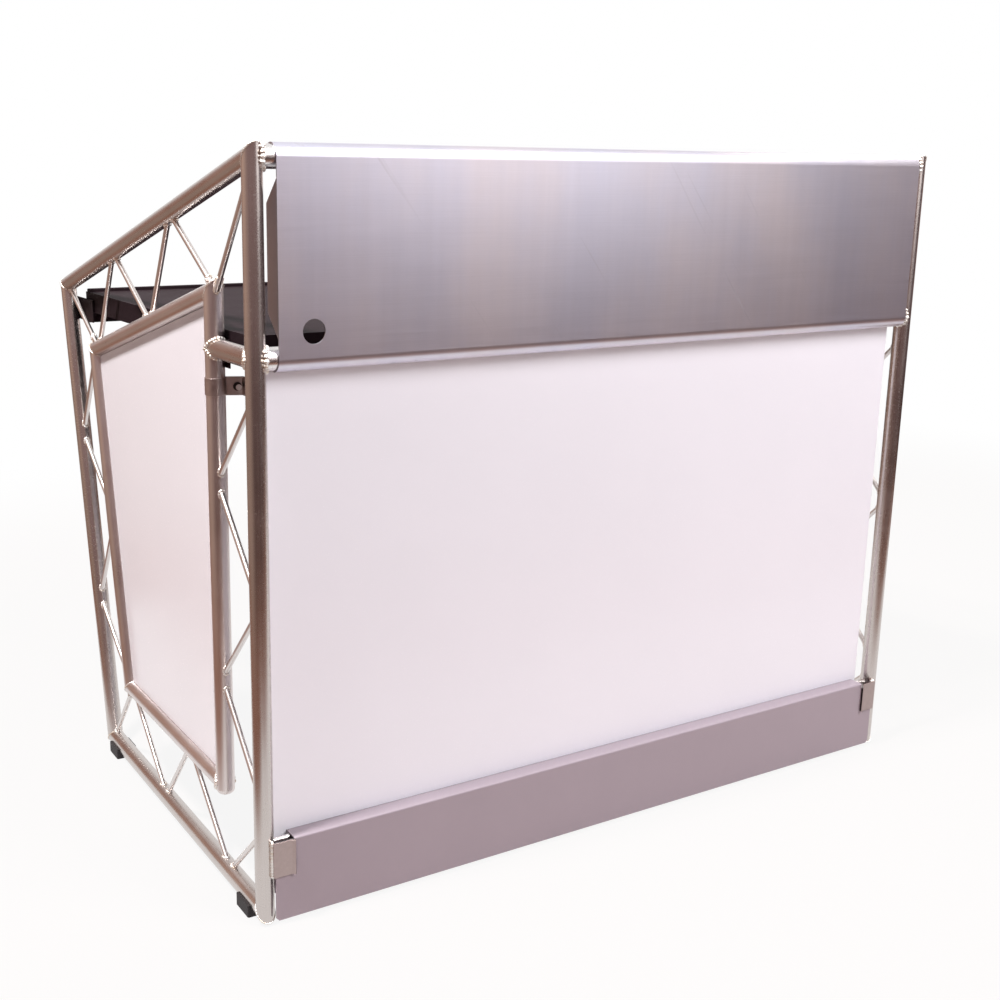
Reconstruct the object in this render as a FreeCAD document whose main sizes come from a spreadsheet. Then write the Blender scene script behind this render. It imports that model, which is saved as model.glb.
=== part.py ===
import FreeCAD, Part
import math
import os
from FreeCAD import Placement, Rotation, Vector

# DJ booth: two tube ladder frames, two rails, a hooked-on fascia, a desk, a kickboard and panels.
# Frame: +X to the right of someone facing the booth's front, +Y to the back, +Z up, floor at z = 0,
# origin below the middle of the booth. Lengths are in millimetres, angles in degrees.

# Driving dimensions; a depth is measured back from the axis of the front posts
SIZES = {
    # side frame, measured on the tube axes
    "frame_width": 1346,
    "base_axis_height": 20,
    "front_height": 1157,
    "top_fall": 241,
    "base_depth": 737,
    "top_depth": 914,
    "ladder_spacing": 150,
    "tube_diameter": 30,
    "tube_wall": 2.5,
    "post_cap": 4,
    "post_tail": 2,
    "tail_round": 9,
    # lacing rods; each ladder's first and last weld are measured along it from what is at that end
    "rod_diameter": 9,
    "rod_weld_gap": 3,
    "rod_pitch": 156,
    "top_lacing_end": 183,
    "front_lacing_start": 171,
    "front_lacing_end": 46,
    "back_lacing_start": 121,
    "back_lacing_end": 131,
    "bottom_lacing_start": 139,
    "bottom_lacing_shift": 18,
    "top_brace_drop": 12,
    "bottom_brace_rise": 131,
    # feet
    "foot_length": 48,
    "foot_wall": 4.5,
    "foot_sole": 5,
    "foot_inset": 46,
    "foot_round": 3,
    # rails, and the stubs that they slide over
    "rail_diameter": 34,
    "rail_wall": 2.5,
    "rail_drop": 278,
    "collar_root": 9,
    "collar_reach": 40,
    "spigot_length": 60,
    "spigot_wall": 4,
    "slide_gap": 0.3,
    "pin_diameter": 8,
    "pin_inset": 30,
    "pin_depth": 9,
    # sheet metal and clearances
    "sheet": 2,
    "running_gap": 0.5,
    "rest_gap": 0.3,
    # fascia
    "fascia_margin": 22,
    "fascia_shift": 6,
    "hook_angle": 200,
    "curl_angle": 92,
    "fascia_flange_depth": 36,
    "fascia_flange_chamfer": 34,
    "fascia_flange_clearance": 12,
    "window_diameter": 36,
    "window_inset": 55,
    "window_rise": 38,
    # front panel with its channel and brackets
    "panel_thickness": 3,
    "panel_margin": 24,
    "panel_shift": 6,
    "panel_setback": 9,
    "panel_foot_height": 40,
    "channel_margin": 30,
    "channel_leg": 1.6,
    "channel_grip": 4.5,
    "channel_drop": 20.5,
    "bracket_reach": 60,
    "bracket_height": 50,
    # kickboard with its holders and studs
    "board_floor_gap": 8,
    "board_height": 134,
    "board_front": 20,
    "board_margin": 10,
    "board_flange_margin": 42,
    "board_return": 15,
    "board_return_margin": 68,
    "board_corner": 5,
    "board_notch": 10,
    "board_bend": 3,
    "holder_inset": 6,
    "holder_width": 32,
    "holder_flare": 4,
    "holder_height": 58,
    "holder_drop": 1,
    "stud_diameter": 10,
    "stud_reach": 60,
    "stud_lead": 1,
    # desk with its brackets
    "desk_rise": 26,
    "desk_side_gap": 4,
    "desk_front": 60,
    "desk_rear_gap": 43,
    "desk_skirt": 37,
    "apron_depth": 61,
    "lip_height": 6,
    "lip_width": 12,
    "lip_round": 2,
    "ledge_reach": 30,
    "desk_bracket_top": 13,
    "rear_bracket_length": 50,
    "front_bracket_length": 40,
    # side panels
    "side_panel_gap": 0.8,
    "side_panel_front_gap": 2.2,
    "tab_length": 40,
    "tab_height": 30,
    "tab_rise": 182,
    "tab_drop": 179,
    # strap clamp and bolts
    "clamp_drop": 58,
    "clamp_width": 26,
    "clamp_strap": 1.5,
    "tongue_turn": 65,
    "tongue_fold": 41,
    "tongue_tip": 30,
    "tongue_width": 28.5,
    "clamp_bolt_reach": 33,
    "bolt_diameter": 8,
    "bolt_head_width": 13,
    "bolt_head_height": 5,
    "bolt_grip": 2,
    "bolt_edge": 8.5,
}

doc = FreeCAD.newDocument("dj_booth")
sheet = doc.addObject("Spreadsheet::Sheet", "sizes")
for row, (alias, value) in enumerate(SIZES.items(), start=1):
    sheet.set("A%d" % row, alias)
    sheet.set("B%d" % row, str(value))
    sheet.setAlias("B%d" % row, alias)
doc.recompute()

X_AXIS = Vector(1, 0, 0)
Y_AXIS = Vector(0, 1, 0)
Z_AXIS = Vector(0, 0, 1)

# Finished sub-parts by node name
nodes = {}


def size(alias):
    """A driving dimension as a plain number."""
    return float(sheet.get(alias))


def keep(name, feature):
    """Name a finished sub-part."""
    feature.Label = name
    nodes[name] = feature
    return feature


def box(name, corner, lengths):
    """A block from its low corner; each length is an expression on the sheet or a number."""
    block = doc.addObject("Part::Box", name)
    for side, length in zip(("Length", "Width", "Height"), lengths):
        if isinstance(length, str):
            block.setExpression(side, length)
        else:
            setattr(block, side, length)
    block.Placement.Base = corner
    return block


def bar(name, radius, start, end):
    """A round bar between two points; its radius is an expression on the sheet."""
    solid = doc.addObject("Part::Cylinder", name)
    solid.setExpression("Radius", radius)
    solid.Height = start.distanceToPoint(end)
    solid.Placement = Placement(start, Rotation(Z_AXIS, end - start))
    return solid


def cut(name, base, *tools):
    """The base with each tool cut away in turn."""
    result = base
    for number, tool in enumerate(tools):
        step = doc.addObject("Part::Cut", "%s_cut%d" % (name, number))
        step.Base = result
        step.Tool = tool
        result = step
    return result


def fuse(name, *pieces):
    """Several overlapping or touching pieces as one solid."""
    result = doc.addObject("Part::MultiFuse", name)
    result.Shapes = list(pieces)
    result.Refine = True
    return result


def group(name, pieces):
    """Several separate solids in one node."""
    result = doc.addObject("Part::Compound", name)
    result.Links = list(pieces)
    return result


def prism(name, points, direction, length):
    """A closed outline pushed along a direction; its length is an expression or a number."""
    outline = doc.addObject("Part::Polygon", name + "_outline")
    outline.Nodes = points
    outline.Close = True
    solid = doc.addObject("Part::Extrusion", name)
    solid.Base = outline
    solid.DirMode = "Custom"
    solid.Dir = direction
    solid.Solid = True
    if isinstance(length, str):
        solid.setExpression("LengthFwd", length)
    else:
        solid.LengthFwd = length
    return solid


def rounded(name, base, radius, chosen):
    """The base with the edges that `chosen` picks rounded off."""
    doc.recompute()
    edges = [number for number, edge in enumerate(base.Shape.Edges, start=1) if chosen(edge)]
    result = doc.addObject("Part::Fillet", name)
    result.Base = base
    result.Edges = [(number, size(radius), size(radius)) for number in edges]
    return result


def hexagon_head(name, base, direction):
    """A hexagonal bolt head or nut that stands on a point along a direction."""
    head = doc.addObject("Part::Prism", name)
    head.Polygon = 6
    head.setExpression("Circumradius", "sizes.bolt_head_width / sqrt(3)")
    head.setExpression("Height", "sizes.bolt_head_height")
    head.Placement = Placement(base, Rotation(Z_AXIS, direction))
    return head


# Outline of a side frame on its tube axes, as (depth, height) vectors with x left at zero
tube_radius = size("tube_diameter") / 2
spacing = size("ladder_spacing")
base_height = size("base_axis_height")
bottom_front = Vector(0, 0, base_height)
top_front = Vector(0, 0, size("front_height"))
top_back = Vector(0, size("top_depth"), size("front_height") - size("top_fall"))
bottom_back = Vector(0, size("base_depth"), base_height)
slope_way = (top_back - top_front).normalize()
lean_way = (top_back - bottom_back).normalize()
slope_in = Vector(0, slope_way.z, -slope_way.y)
lean_in = Vector(0, -lean_way.z, lean_way.y)


def meet(point, way, other_point, other_way):
    """Where two lines in the plane of a side frame cross."""
    gap = other_point - point
    run = (gap.y * other_way.z - gap.z * other_way.y) / (way.y * other_way.z - way.z * other_way.y)
    return point + way * run


def inset_corners(inset):
    """Corners of the frame's outline moved inwards, clockwise from the bottom front."""
    front = bottom_front + Y_AXIS * inset
    floor = bottom_front + Z_AXIS * inset
    slope = top_front + slope_in * inset
    lean = bottom_back + lean_in * inset
    return (
        meet(front, Z_AXIS, floor, Y_AXIS),
        meet(front, Z_AXIS, slope, slope_way),
        meet(slope, slope_way, lean, lean_way),
        meet(floor, Y_AXIS, lean, lean_way),
    )


inner_bottom_front, inner_top_front, inner_top_back, inner_bottom_back = inset_corners(spacing)

# Heights that follow the top rail
lower_rail_height = size("front_height") - size("rail_drop")
desk_height = lower_rail_height + size("desk_rise")
clamp_height = lower_rail_height - size("clamp_drop")

# Places along X and Y: the booth's middle is at zero both ways
half_width = size("frame_width") / 2
rear_reach = inset_corners(-tube_radius)[2].y
holder_face = size("board_front") + size("running_gap") + size("sheet")
front_reach = holder_face + size("holder_flare")
post_y = (front_reach - rear_reach) / 2
left_plane = Vector(-half_width, post_y, 0)


def left(point):
    """A frame point, with x measured inwards from the frame's plane, on the left side frame."""
    return left_plane + point


def half_space(name, point, outward):
    """A block that fills the outward side of a plane across a tube."""
    reach = 3 * size("tube_diameter")
    edge = "6 * sizes.tube_diameter"
    block = box(name, Vector(), (edge, edge, edge))
    block.Placement = Placement(point, Rotation(Z_AXIS, outward)) * Placement(Vector(-reach, -reach, 0), Rotation())
    return block


def mitre(name, corner, kept_way, other_way):
    """The block that trims a tube at a mitred corner; both ways point away from the corner."""
    return half_space(name, left(corner), (other_way - kept_way).normalize())


# Side frame tubes: each is trimmed as a solid, which also trims what is welded to it, and then bored out
solids = {}
tube_bar = "sizes.tube_diameter / 2"
tube_bore = "sizes.tube_diameter / 2 - sizes.tube_wall"


def tube(name, start, end, trims, holes=()):
    """A frame tube from axis point to axis point, run on past both and then trimmed."""
    overrun = (end - start).normalize() * size("tube_diameter")
    stock = bar(name + "_stock", tube_bar, left(start - overrun), left(end + overrun))
    solids[name] = cut(name + "_solid", stock, *trims)
    bore = bar(name + "_bore", tube_bore, left(start - overrun * 2), left(end + overrun * 2))
    keep("left_" + name, cut(name, solids[name], bore, *holes))


tail_end = inner_bottom_front - Z_AXIS * (tube_radius + size("post_tail"))

# Bolts of the desk brackets, which pass into the back post and the inner front post
ledge_top = desk_height - size("desk_skirt") - size("rest_gap")
desk_bolt_height = ledge_top - size("sheet") - size("bolt_edge")
rear_bolt = meet(bottom_back, lean_way, Vector(0, 0, desk_bolt_height), Y_AXIS)
desk_rear = rear_bolt.y - size("desk_rear_gap")
front_bolt = Vector(0, spacing, desk_bolt_height)
bolt_face = tube_radius + size("sheet")
bolt_end = tube_radius - size("tube_wall") - size("bolt_grip")


def desk_bolt_shank(name, place):
    """The shank of a desk bracket's bolt, through the bracket and the tube's wall."""
    outer = left(place + X_AXIS * bolt_face)
    return bar(name, "sizes.bolt_diameter / 2", left(place + X_AXIS * bolt_end), outer)


rear_shank = desk_bolt_shank("rear_bolt_shank", rear_bolt)
front_shank = desk_bolt_shank("front_bolt_shank", front_bolt)

# The front post as a bar that runs on past its mitred top
post_bar = bar("post_bar", tube_bar, left(bottom_front), left(top_front + Z_AXIS * size("tube_diameter")))
tube(
    "front_post", bottom_front, top_front,
    (
        mitre("front_post_foot", bottom_front, Z_AXIS, Y_AXIS),
        mitre("front_post_head", top_front, Z_AXIS * -1, slope_way),
    ),
)
tube(
    "top_tube", top_front, top_back,
    (
        mitre("top_tube_front", top_front, slope_way, Z_AXIS * -1),
        mitre("top_tube_back", top_back, slope_way * -1, lean_way * -1),
    ),
)
tube(
    "back_post", bottom_back, top_back,
    (
        mitre("back_post_foot", bottom_back, lean_way, Y_AXIS * -1),
        mitre("back_post_head", top_back, lean_way * -1, slope_way * -1),
    ),
    holes=(rear_shank,),
)
tube(
    "bottom_tube", bottom_front, bottom_back,
    (
        mitre("bottom_tube_front", bottom_front, Y_AXIS, Z_AXIS),
        mitre("bottom_tube_back", bottom_back, Y_AXIS * -1, lean_way),
    ),
)
tube(
    "inner_top_tube", inner_top_front, inner_top_back,
    (
        mitre("inner_top_front", inner_top_front, slope_way, Z_AXIS * -1),
        mitre("inner_top_back", inner_top_back, slope_way * -1, lean_way * -1),
    ),
)
tube(
    "inner_back_post", inner_bottom_back, inner_top_back,
    (
        mitre("inner_back_foot", inner_bottom_back, lean_way, Y_AXIS * -1),
        mitre("inner_back_head", inner_top_back, lean_way * -1, slope_way * -1),
    ),
)


def inner_front_post():
    """The inner front post, whose closed, rounded lower end runs past the inner bottom tube."""
    overrun = Z_AXIS * size("tube_diameter")
    stock = bar("inner_front_stock", tube_bar, left(tail_end), left(inner_top_front + overrun))
    stock = rounded("inner_front_round", stock, "tail_round", lambda edge: edge.BoundBox.ZMax < tail_end.z + tube_radius)
    head = mitre("inner_front_head", inner_top_front, Z_AXIS * -1, slope_way)
    solids["inner_front_post"] = cut("inner_front_solid", stock, head)
    floor = tail_end + Z_AXIS * (size("post_cap") + size("tail_round"))
    bore = bar("inner_front_bore", tube_bore, left(floor), left(inner_top_front + overrun * 2))
    keep("left_inner_front_post", cut("inner_front_post", solids["inner_front_post"], bore, front_shank))


inner_front_post()
tube(
    "inner_bottom_tube", inner_bottom_front, inner_bottom_back,
    (
        half_space("inner_bottom_start", left(inner_bottom_front), Y_AXIS * -1),
        solids["inner_front_post"],
        mitre("inner_bottom_back", inner_bottom_back, Y_AXIS * -1, lean_way),
    ),
)


def spreader():
    """The short tube between the front post and the inner front post, level with the lower rail."""
    start = Vector(0, 0, lower_rail_height)
    end = start + Y_AXIS * spacing
    stock = bar("spreader_stock", tube_bar, left(start), left(end))
    solids["spreader"] = cut("spreader_solid", stock, post_bar, solids["inner_front_post"])
    bore = bar("spreader_bore", tube_bore, left(start), left(end))
    keep("left_spreader", cut("spreader", solids["spreader"], bore))


spreader()


# Lacing rods: a zigzag between an outer and an inner tube
def zigzag(origin, way, inward, run, first_outer, last_outer, inner_shift=0):
    """The weld points of one ladder, evenly spaced along a run of its outer tube."""
    turn = 0 if first_outer == last_outer else 1
    count = 2 * round((run / size("rod_pitch") - turn) / 2) + turn
    points = []
    for number in range(count + 1):
        place = origin + way * (run * number / count)
        outer = (number % 2 == 0) == first_outer
        points.append(place if outer else place + way * inner_shift + inward * spacing)
    return points


def rod(name, start, end, chords):
    """A round rod that ends on the tubes it is welded to."""
    stock = bar(name + "_stock", "sizes.rod_diameter / 2", left(start), left(end))
    return cut(name, stock, *[solids[chord] for chord in chords])


def lacing(name, welds, way, chords):
    """The rods of one ladder, as separate solids."""
    gap = way * (size("rod_weld_gap") / 2)
    rods = []
    for number, (start, end) in enumerate(zip(welds, welds[1:])):
        rods.append(rod("%s_rod%d" % (name, number), start + gap, end - gap, chords))
    keep("left_" + name, group(name, rods))


def ladders():
    """The four ladders of the left side frame and the brace in its top front corner."""
    top_run = top_front.distanceToPoint(top_back) - size("top_lacing_end")
    top_welds = zigzag(top_back, slope_way * -1, slope_in, top_run, True, False)
    top_chords = ("top_tube", "inner_top_tube", "back_post", "inner_back_post", "inner_front_post")
    lacing("top_lacing", top_welds, slope_way * -1, top_chords)
    brace_start = top_welds[-1] - slope_way * (size("rod_weld_gap") / 2)
    brace_end = top_front - Z_AXIS * size("top_brace_drop")
    brace_chords = ("front_post", "top_tube", "inner_top_tube", "inner_front_post")
    keep("left_top_brace", rod("top_brace", brace_start, brace_end, brace_chords))

    front_start = bottom_front + Z_AXIS * size("front_lacing_start")
    front_run = lower_rail_height - size("front_lacing_end") - front_start.z
    front_welds = zigzag(front_start, Z_AXIS, Y_AXIS, front_run, True, True)
    lacing("front_lacing", front_welds, Z_AXIS, ("front_post", "inner_front_post"))

    back_start = bottom_back + lean_way * size("back_lacing_start")
    back_run = back_start.distanceToPoint(top_back) - size("back_lacing_end")
    back_welds = zigzag(back_start, lean_way, lean_in, back_run, False, False)
    back_chords = ("back_post", "inner_back_post", "inner_bottom_tube", "inner_top_tube")
    lacing("back_lacing", back_welds, lean_way, back_chords)

    bottom_start = bottom_front + Y_AXIS * size("bottom_lacing_start")
    bottom_run = bottom_back.y - bottom_start.y
    bottom_welds = zigzag(bottom_start, Y_AXIS, Z_AXIS, bottom_run, True, True, size("bottom_lacing_shift"))
    bottom_welds.insert(0, bottom_front + Z_AXIS * size("bottom_brace_rise"))
    bottom_chords = ("bottom_tube", "inner_bottom_tube", "back_post", "inner_back_post", "front_post")
    lacing("bottom_lacing", bottom_welds, Y_AXIS, bottom_chords)


ladders()


def feet():
    """Two rubber saddles under the bottom tube."""
    half = tube_radius + size("foot_wall")
    saddles = []
    for number, depth in enumerate((size("foot_inset"), size("base_depth") - size("foot_inset"))):
        low = left(Vector(-half, depth - size("foot_length") / 2, base_height - tube_radius - size("foot_sole")))
        lengths = (
            "sizes.tube_diameter + 2 * sizes.foot_wall",
            "sizes.foot_length",
            "sizes.tube_diameter / 2 + sizes.foot_sole",
        )
        block = box("foot%d_block" % number, low, lengths)
        block = rounded("foot%d_round" % number, block, "foot_round", lambda edge: edge.BoundBox.ZLength > size("foot_sole"))
        saddles.append(cut("foot%d" % number, block, solids["bottom_tube"]))
    keep("left_feet", group("feet", saddles))


feet()

# Rails and the stubs welded to the front posts
rail_radius = size("rail_diameter") / 2
rail_heights = {"top_rail": size("front_height"), "lower_rail": lower_rail_height}
rail_axes = {name: Vector(0, post_y, height) for name, height in rail_heights.items()}
spigot_radius = "sizes.rail_diameter / 2 - sizes.rail_wall - sizes.slide_gap"


def rail_pin(name, axis_point):
    """A snap pin let into the back of a rail, flush with the rail's surface."""
    outer = axis_point + Y_AXIS * (rail_radius - size("rest_gap"))
    return bar(name, "sizes.pin_diameter / 2", outer - Y_AXIS * size("pin_depth"), outer)


def rails():
    """Both rails, their pins, and the left stubs that they slide over."""
    stubs = []
    pins = []
    for name, axis in rail_axes.items():
        post = axis - X_AXIS * half_width
        shoulder = post + X_AXIS * size("collar_reach")
        tip = shoulder + X_AXIS * size("spigot_length")
        far_shoulder = axis + X_AXIS * (half_width - size("collar_reach"))
        pin_place = X_AXIS * (half_width - size("collar_reach") - size("pin_inset"))
        left_pin = rail_pin(name + "_left_pin", axis - pin_place)
        right_pin = rail_pin(name + "_right_pin", axis + pin_place)
        pins += [left_pin, right_pin]
        collar = bar(name + "_collar", "sizes.rail_diameter / 2", post + X_AXIS * size("collar_root"), shoulder)
        spigot = bar(name + "_spigot", spigot_radius, post, tip)
        hollow = bar(name + "_hollow", spigot_radius + " - sizes.spigot_wall", post, tip)
        stub = fuse(name + "_stub_stock", collar, spigot)
        welded = (post_bar, solids["top_tube"], solids["spreader"])
        stubs.append(cut(name + "_stub", stub, hollow, *welded, left_pin))
        stock = bar(name + "_stock", "sizes.rail_diameter / 2", shoulder, far_shoulder)
        bore = bar(name + "_bore", "sizes.rail_diameter / 2 - sizes.rail_wall", shoulder, far_shoulder)
        keep(name, cut(name, stock, bore, left_pin, right_pin))
    keep("left_rail_stubs", group("rail_stubs", stubs))
    keep("rail_pins", group("rail_pins", pins))


rails()
rail_envelope = bar(
    "lower_rail_envelope", "sizes.rail_diameter / 2",
    rail_axes["lower_rail"] - X_AXIS * half_width, rail_axes["lower_rail"] + X_AXIS * half_width,
)


# Fascia: a sheet hooked over the top rail and curled under the lower one
def curl(name, axis, length, start_way, angle):
    """A rolled strip of sheet round a rail, from a starting direction through an angle about +X."""
    inner_radius = "sizes.rail_diameter / 2 + sizes.slide_gap"
    turn = Rotation(start_way, X_AXIS.cross(start_way), X_AXIS, "ZXY")
    strip = bar(name + "_strip", inner_radius + " + sizes.sheet", axis, axis + X_AXIS * length)
    strip.setExpression("Angle", angle)
    strip.Placement.Rotation = turn
    room = bar(name + "_room", inner_radius, axis, axis + X_AXIS * length)
    return cut(name, strip, room)


def fascia():
    """The front sheet with its hook, its curl, two end flanges and a plain round window."""
    length = size("frame_width") - 2 * size("fascia_margin")
    start = X_AXIS * (size("fascia_shift") - length / 2)
    top_axis = rail_axes["top_rail"] + start
    low_axis = rail_axes["lower_rail"] + start
    inner_face = rail_radius + size("slide_gap")
    front = low_axis - Y_AXIS * (inner_face + size("sheet"))
    drop = top_axis.z - low_axis.z
    face = box("fascia_face", front, ("sizes.frame_width - 2 * sizes.fascia_margin", "sizes.sheet", drop))
    tip = math.radians(size("hook_angle") - 180)
    hook_way = Vector(0, math.cos(tip), -math.sin(tip))
    hook = curl("fascia_hook", top_axis, length, hook_way, "sizes.hook_angle")
    under = curl("fascia_curl", low_axis, length, Y_AXIS * -1, "sizes.curl_angle")
    flanges = []
    back = size("fascia_flange_depth") - size("sheet") - inner_face
    high = drop - rail_radius - size("fascia_flange_clearance")
    low = rail_radius + size("fascia_flange_clearance")
    chamfer = size("fascia_flange_chamfer")
    outline = ((-inner_face, low), (back, low + chamfer), (back, high - chamfer), (-inner_face, high))
    for number, edge in enumerate((0, length - size("sheet"))):
        points = [low_axis + X_AXIS * edge + Vector(0, y, z) for y, z in outline]
        flanges.append(prism("fascia_flange%d" % number, points, X_AXIS, "sizes.sheet"))
    stock = fuse("fascia_stock", face, hook, under, *flanges)
    eye = front + X_AXIS * size("window_inset") + Z_AXIS * size("window_rise")
    through = Y_AXIS * size("sheet")
    window = bar("fascia_window", "sizes.window_diameter / 2", eye - through, eye + through * 2)
    keep("fascia", cut("fascia", stock, window))


fascia()


# Front panel, the channel under the lower rail that holds its top edge, and the brackets it stands on
def front_panel():
    """A flat opal sheet between the front posts, nearer the left one."""
    width = size("frame_width") - 2 * size("panel_margin")
    low = Vector(-width / 2 - size("panel_shift"), post_y + size("panel_setback"), size("panel_foot_height"))
    top = lower_rail_height - size("channel_drop") + size("channel_grip") - size("rest_gap")
    lengths = ("sizes.frame_width - 2 * sizes.panel_margin", "sizes.panel_thickness", top - low.z)
    keep("front_panel", box("front_panel", low, lengths))

    leg = size("channel_leg")
    slot_front = size("panel_setback") - size("rest_gap") / 3
    slot_back = size("panel_setback") + size("panel_thickness") + size("rest_gap") / 3
    foot = -size("channel_drop")
    roof = foot + size("channel_grip")
    outline = (
        (slot_front - leg, foot), (slot_front - leg, 0), (slot_back + leg, 0), (slot_back + leg, foot),
        (slot_back, foot), (slot_back, roof), (slot_front, roof), (slot_front, foot),
    )
    start = rail_axes["lower_rail"] - X_AXIS * (half_width - size("channel_margin"))
    points = [start + Vector(0, y, z) for y, z in outline]
    strip = prism("channel_strip", points, X_AXIS, "sizes.frame_width - 2 * sizes.channel_margin")
    keep("panel_channel", cut("panel_channel", strip, rail_envelope))

    back = size("panel_setback") + size("panel_thickness")
    sheet_size = size("sheet")
    outline = (
        (size("panel_setback"), -sheet_size), (back + sheet_size, -sheet_size),
        (back + sheet_size, size("bracket_height")), (back, size("bracket_height")),
        (back, 0), (size("panel_setback"), 0),
    )
    points = [left(Vector(0, y, size("panel_foot_height") + z)) for y, z in outline]
    angle = prism("panel_bracket_angle", points, X_AXIS, "sizes.bracket_reach")
    keep("left_panel_bracket", cut("panel_bracket", angle, post_bar))


front_panel()


# Kickboard, the holders in front of it and the studs under its top flange
def kickboard():
    """A folded board: a face notched at its top corners, a top flange and a bottom return."""
    bottom = size("board_floor_gap")
    top = bottom + size("board_height")
    front = post_y - size("board_front")
    sheet_size = size("sheet")
    end = half_width - size("board_margin")
    corner = size("board_corner")
    flange_end = half_width - size("board_flange_margin")
    notch = top - size("board_notch")
    outline = (
        (-end, bottom + corner), (-end, notch), (-flange_end, notch), (-flange_end, top), (flange_end, top),
        (flange_end, notch), (end, notch), (end, bottom + corner), (end - corner, bottom), (-end + corner, bottom),
    )
    face = prism("board_face", [Vector(x, front, z) for x, z in outline], Y_AXIS, "sizes.sheet")
    flange_length = "sizes.frame_width - 2 * sizes.board_flange_margin"
    flange_depth = "sizes.board_front + sizes.panel_setback - sizes.running_gap"
    top_low = Vector(-flange_end, front, top - sheet_size)
    flange = box("board_flange", top_low, (flange_length, flange_depth, "sizes.sheet"))
    hem_low = Vector(size("board_return_margin") - half_width, front, bottom)
    hem_length = "sizes.frame_width - 2 * sizes.board_return_margin"
    hem = box("board_return", hem_low, (hem_length, "sizes.board_return", "sizes.sheet"))
    folded = fuse("board_folded", face, flange, hem)

    def is_front_bend(edge):
        room = edge.BoundBox
        return room.ZMin > top - sheet_size / 2 and room.YMax < front + sheet_size / 2

    keep("kickboard", rounded("kickboard", folded, "board_bend", is_front_bend))

    inset = size("holder_inset")
    reach = inset + size("holder_width")
    gap_face = size("board_front") + size("running_gap")
    flare = size("holder_flare")
    bend = sheet_size * math.tan(math.radians(22.5))
    skew = sheet_size * math.sqrt(0.5)
    outline = (
        (inset, 0), (inset, -gap_face - sheet_size), (reach - bend, -gap_face - sheet_size),
        (reach - bend + flare, -gap_face - sheet_size - flare),
        (reach - bend + flare + skew, -gap_face - sheet_size - flare + skew),
        (reach, -gap_face), (inset + sheet_size, -gap_face), (inset + sheet_size, 0),
    )
    low = top - size("holder_drop") - size("holder_height")
    points = [left(Vector(x, y, low)) for x, y in outline]
    plate = prism("holder_plate", points, Z_AXIS, "sizes.holder_height")
    keep("left_board_holder", cut("board_holder", plate, post_bar))

    stud_height = top - sheet_size - size("rest_gap") - size("stud_diameter") / 2
    stud_start = left(Vector(0, -size("stud_lead"), stud_height))
    stud = bar("board_stud_bar", "sizes.stud_diameter / 2", stud_start, stud_start + X_AXIS * size("stud_reach"))
    keep("left_board_stud", cut("board_stud", stud, post_bar))


kickboard()


# Desk: a shallow tray with a deeper apron and a raised lip along its back
desk_side = half_width - tube_radius - size("desk_side_gap")
desk_width = "sizes.frame_width - sizes.tube_diameter - 2 * sizes.desk_side_gap"


def desk():
    """The tray, the apron behind it and the lip let into its rear edge."""
    sheet_size = size("sheet")
    rear = post_y + desk_rear
    low = Vector(-desk_side, post_y + size("desk_front"), desk_height - size("desk_skirt"))
    run = desk_rear - size("desk_front")
    stock = box("tray_stock", low, (desk_width, run, "sizes.desk_skirt"))
    inner = low + Vector(sheet_size, sheet_size, -sheet_size)
    inner_width = desk_width + " - 2 * sizes.sheet"
    hollow = box("tray_hollow", inner, (inner_width, run, "sizes.desk_skirt"))
    seat_low = Vector(sheet_size - desk_side, rear - size("lip_width"), desk_height - sheet_size)
    seat = box("lip_seat", seat_low, (inner_width, "sizes.lip_width", "sizes.sheet"))
    keep("desk_tray", cut("desk_tray", stock, hollow, seat))
    apron_low = Vector(-desk_side, rear, desk_height - size("apron_depth"))
    keep("desk_apron", box("desk_apron", apron_low, (desk_width, "sizes.sheet", "sizes.apron_depth")))
    bead = box("lip_stock", seat_low, (inner_width, "sizes.lip_width", "sizes.lip_height + sizes.sheet"))
    middle = desk_height + size("lip_height") / 2
    keep("desk_lip", rounded("desk_lip", bead, "lip_round", lambda edge: edge.BoundBox.ZMin > middle))


desk()


def desk_brackets():
    """Angles on the back post and the inner front post, with a ledge under the desk's side skirt."""
    sheet_size = size("sheet")
    plate_low = desk_bolt_height - size("bolt_edge")
    plate_height = desk_height - size("desk_bracket_top") - plate_low
    rear_end = rear_bolt.y + size("bolt_head_width")
    rear_start = desk_rear - size("rear_bracket_length")
    front_start = spacing - size("front_bracket_length") / 2
    ledge_stop = desk_rear - sheet_size
    plans = (
        ("rear", rear_start, rear_end, ledge_stop, rear_shank, rear_bolt),
        ("front", front_start, front_start + size("front_bracket_length"), None, front_shank, front_bolt),
    )
    angles = []
    bolts = []
    for name, start, end, stop, shank, bolt in plans:
        plate_corner = left(Vector(tube_radius, start, plate_low))
        plate = box(name + "_plate", plate_corner, ("sizes.sheet", end - start, plate_height))
        ledge_corner = left(Vector(tube_radius, start, ledge_top - sheet_size))
        ledge_run = (end if stop is None else stop) - start
        ledge = box(name + "_ledge", ledge_corner, ("sizes.ledge_reach", ledge_run, "sizes.sheet"))
        angles.append(cut(name + "_angle", fuse(name + "_angle_stock", plate, ledge), shank))
        head = hexagon_head(name + "_bolt_head", left(bolt + X_AXIS * bolt_face), X_AXIS)
        bolts.append(fuse(name + "_desk_bolt", shank, head))
    keep("left_desk_brackets", group("desk_brackets", angles))
    keep("left_desk_bolts", group("desk_bolts", bolts))


desk_brackets()


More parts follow.
